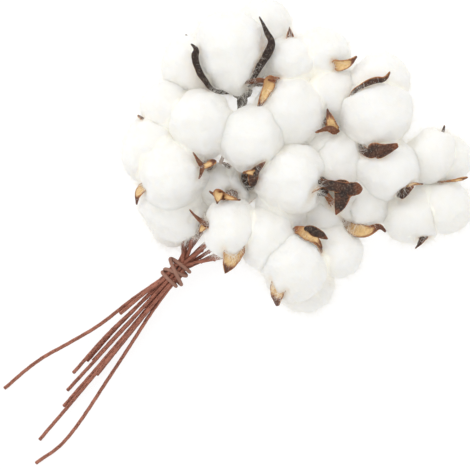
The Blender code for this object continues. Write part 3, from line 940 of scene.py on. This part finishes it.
def smooth_route(points, step):
    """Catmull-Rom points through the given ones, at most a step apart."""
    ends = [points[0] * 2 - points[1]] + points + [points[-1] * 2 - points[-2]]
    route = []
    for p0, p1, p2, p3 in zip(ends, ends[1:], ends[2:], ends[3:]):
        steps = max(1, math.ceil((p2 - p1).length / step))
        for number in range(steps):
            t = number / steps
            route.append(0.5 * (2 * p1 + (p2 - p0) * t + (2 * p0 - 5 * p1 + 4 * p2 - p3) * t * t
                                + (3 * p1 - p0 - 3 * p2 + p3) * t ** 3))
    return route + [points[-1]]


def bundle_place(stem, along):
    heading = math.radians(PLAN_HEADING)
    forward = Vector((math.cos(heading), math.sin(heading), 0))
    sideways = Vector((-math.sin(heading), math.cos(heading), 0))
    height = Vector((0, 0, BUNDLE_HEIGHT + stem.row * ROW_PITCH))
    return forward * along + sideways * stem.slot * SLOT_PITCH + height


def stem_route(stem):
    """From the cut end, through the binding, to just below the husk's neck."""
    boll = next(b for b in BOLLS if b.name == stem.boll)
    neck = Vector(boll.neck)
    down = (neck - Vector(boll.cup)).normalized()
    points = [Vector(p) for p in reversed(stem.tail)]
    points += [bundle_place(stem, BUNDLE_REACH * share) for share in (-1, -0.4, 0.4, 1)]
    points += [Vector(p) for p in stem.rise]
    points += [neck + down * NECK_APPROACH, neck + down * STEM_GAP]
    route = smooth_route([PLAN @ (p * MM) for p in points], RING_STEP)
    shift = Vector((ord(stem.boll) * 5.0, 0, 0))
    return [p + noise.noise_vector(p / (WANDER_SPAN * MM) + shift) * WANDER * MM for p in route]


def wrapped_tube(route, sizes, name):
    """A round stem along a route, in paper tape that winds round it, with a cut wire end."""
    distance = [0.0]
    for here, there in zip(route, route[1:]):
        distance.append(distance[-1] + (there - here).length)
    turns = distance[-1] / sizes.wrap_pitch
    bm = bmesh.new()
    uv = bm.loops.layers.uv.new("UVMap")
    bmesh.ops.create_grid(bm, x_segments=len(route) - 1, y_segments=SIDES, size=1,
                          calc_uvs=True)
    frames = []
    side = Vector((0.3, 0.2, 1)).normalized()
    for number, point in enumerate(route):
        ahead = route[min(number + 1, len(route) - 1)]
        behind = route[max(number - 1, 0)]
        forward = (ahead - behind).normalized()
        side = (side - forward * side.dot(forward)).normalized()
        frames.append((point, side, forward.cross(side)))
    for vert in bm.verts:
        number = round((vert.co.x + 1) / 2 * (len(route) - 1))
        share = (vert.co.y + 1) / 2
        point, across, up = frames[number]
        phase = (share - distance[number] / sizes.wrap_pitch) % 1.0
        crease = noise.noise(point / (1.6 * MM) + Vector((share * 3, 0, 0))) * 0.05 * MM
        radius = sizes.radius + sizes.wrap_step * (phase - 0.5) + crease
        angle = 2 * math.pi * share
        vert.co = point + (across * math.cos(angle) + up * math.sin(angle)) * radius
    for face in bm.faces:
        for loop in face.loops:
            loop[uv].uv.x *= turns
    bmesh.ops.remove_doubles(bm, verts=bm.verts, dist=0.02 * MM)
    caps = bmesh.ops.holes_fill(bm, edges=[e for e in bm.edges if e.is_boundary], sides=0)
    bmesh.ops.recalc_face_normals(bm, faces=bm.faces)
    bmesh.ops.inset_individual(bm, faces=caps["faces"], thickness=sizes.radius * STEEL_SHARE)
    for face in caps["faces"]:
        face.material_index = 1
        for vert in face.verts:
            vert.co += face.normal * STEEL_OUT * MM
    return to_mesh(bm, name)


class COTTON_OT_stems(bpy.types.Operator):
    """Build the wire stems in their paper tape"""
    bl_idname = "cotton.stems"
    bl_label = "Wrapped Stems"

    def execute(self, context):
        sizes = context.scene.stem_sizes
        finishes = [tape_finish(sizes), steel_finish(sizes)]
        noise.seed_set(SEED)     # noise_vector is otherwise seeded from the clock
        for stem in STEMS:
            mesh = wrapped_tube(stem_route(stem), sizes, f"stem_{stem.boll}")
            piece = show(f"stem_{stem.boll}", mesh, finishes)
            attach(piece, "root")
            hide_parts(f"wire_{stem.boll}")
        return {"FINISHED"}


def tie_route():
    """One loop near the tails, a slanting cross on top, one loop near the heads, and back."""
    # turn (0 is under the bundle), place along the bundle, and distance out from it
    course = [(-0.1, -1.3, 0.0), (0.0, -2.0, 0.0), (0.25, -4.5, 0.0), (0.5, -4.9, 0.1),
              (0.75, -4.9, 0.0), (1.0, -4.3, 0.0), (1.25, -2.6, 0.1), (1.5, 0.0, 0.3),
              (1.75, 2.4, 0.1), (2.0, 3.0, 0.0), (2.25, 3.9, 0.0), (2.5, 4.7, 0.1),
              (2.75, 5.0, 0.0), (3.0, 4.9, 0.3), (3.25, 3.2, 1.7), (3.5, 0.0, 2.1),
              (3.75, -2.4, 1.3), (3.88, -2.7, 0.9)]
    points = []
    for turn, along, out in course:
        angle = 2 * math.pi * turn - math.pi / 2
        points.append(Vector((along, (TIE_HALF_WIDTH + out) * math.cos(angle),
                              (TIE_HALF_HEIGHT + out) * math.sin(angle) + BUNDLE_HEIGHT)))
    heading = Matrix.Rotation(math.radians(PLAN_HEADING), 4, "Z")
    return smooth_route([PLAN @ heading @ (p * MM) for p in points], TIE_STEP)


class COTTON_OT_binding(bpy.types.Operator):
    """Build the wrapped wire that ties the stems"""
    bl_idname = "cotton.binding"
    bl_label = "Binding Wire"

    def execute(self, context):
        sizes = context.scene.stem_sizes
        finishes = [bpy.data.materials["paper_tape"], bpy.data.materials["cut_wire"]]
        piece = show("binding", wrapped_tube(tie_route(), sizes, "binding"), finishes)
        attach(piece, "root")
        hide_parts("binding_wire")
        return {"FINISHED"}


# ---------------- stage

FLOOR_HALF = 1.6
AIM_FROM_TIE = (30.0, 18.9)      # plan millimetres from the binding to the view's middle
AIM_HEIGHT = 0.025
FLOOR_DROP = 0.1                 # millimetres from the bunch's lowest point to the floor
KEY_FROM = (-0.35, 0.6, 1)
KEY_SPREAD = 50                  # degrees
SENSOR_WIDTH = 36.0


class COTTON_OT_stage(bpy.types.Operator):
    """Build the pale floor, the soft light and the camera that looks down on the bunch"""
    bl_idname = "cotton.stage"
    bl_label = "Stage"

    def execute(self, context):
        sizes = context.scene.stage_sizes
        bm = bmesh.new()
        bmesh.ops.create_grid(bm, x_segments=2, y_segments=2, size=FLOOR_HALF)
        bmesh.ops.translate(bm, vec=(0, 0, CAD_BOX[0].z - FLOOR_DROP * MM), verts=bm.verts)
        floor = show("floor", to_mesh(bm, "floor"), [floor_finish(sizes)])

        world = bpy.data.worlds.new("studio")
        world.use_nodes = True
        context.scene.world = world
        sky = world.node_tree.nodes["Background"].inputs
        sky["Color"].default_value = (1, 1, 1, 1)
        sky["Strength"].default_value = sizes.sky

        key = bpy.data.lights.new("key", "SUN")
        key.energy = sizes.key
        key.angle = math.radians(KEY_SPREAD)
        lamp = bpy.data.objects.new("key", key)
        lamp.rotation_euler = (Matrix.Rotation(-math.radians(PLAN_HEADING), 3, "Z")
                               @ Vector(KEY_FROM).to_track_quat("Z", "Y").to_matrix()
                               ).to_euler()
        context.scene.collection.objects.link(lamp)

        lens = bpy.data.cameras.new("camera")
        lens.lens = sizes.lens
        lens.sensor_width = SENSOR_WIDTH
        camera = bpy.data.objects.new("camera", lens)
        aim = at((*AIM_FROM_TIE, 0))
        distance = sizes.view_width / 2 / (lens.sensor_width / 2 / lens.lens)
        camera.location = (aim.x, aim.y, AIM_HEIGHT + distance)
        camera.rotation_euler = (0, 0, -math.radians(PLAN_HEADING))
        lens.clip_start, lens.clip_end = 0.05, 20.0
        context.scene.collection.objects.link(camera)
        context.scene.camera = camera
        context.scene.view_settings.view_transform = "Standard"
        return {"FINISHED"}


# ---------------- add-on

class COTTON_PT_bunch(bpy.types.Panel):
    """Lists the pieces of the bunch"""
    bl_label = "Cotton Stem Bunch"
    bl_idname = "COTTON_PT_bunch"
    bl_space_type = "VIEW_3D"
    bl_region_type = "UI"
    bl_category = "Cotton"

    def draw(self, context):
        for group, operator in (("cotton_sizes", COTTON_OT_locks),
                                ("husk_sizes", COTTON_OT_husks),
                                ("stem_sizes", COTTON_OT_stems), (None, COTTON_OT_binding),
                                ("stage_sizes", COTTON_OT_stage)):
            box = self.layout.box()
            if group:
                sizes = getattr(context.scene, group)
                for name in sizes.__annotations__:
                    box.prop(sizes, name)
            box.operator(operator.bl_idname)


GROUPS = {"cotton_sizes": CottonSizes, "husk_sizes": HuskSizes, "stem_sizes": StemSizes,
          "stage_sizes": StageSizes}
CLASSES = [*GROUPS.values(), COTTON_OT_locks, COTTON_OT_husks, COTTON_OT_stems,
           COTTON_OT_binding, COTTON_OT_stage, COTTON_PT_bunch]


def register():
    for cls in CLASSES:
        bpy.utils.register_class(cls)
    for name, group in GROUPS.items():
        setattr(bpy.types.Scene, name, PointerProperty(type=group))


def unregister():
    for name in GROUPS:
        delattr(bpy.types.Scene, name)
    for cls in reversed(CLASSES):
        bpy.utils.unregister_class(cls)


def main():
    register()
    bpy.ops.cotton.stage()
    bpy.ops.cotton.stems()
    bpy.ops.cotton.binding()
    bpy.ops.cotton.husks()
    bpy.ops.cotton.locks()


if __name__ == "__main__":
    main()
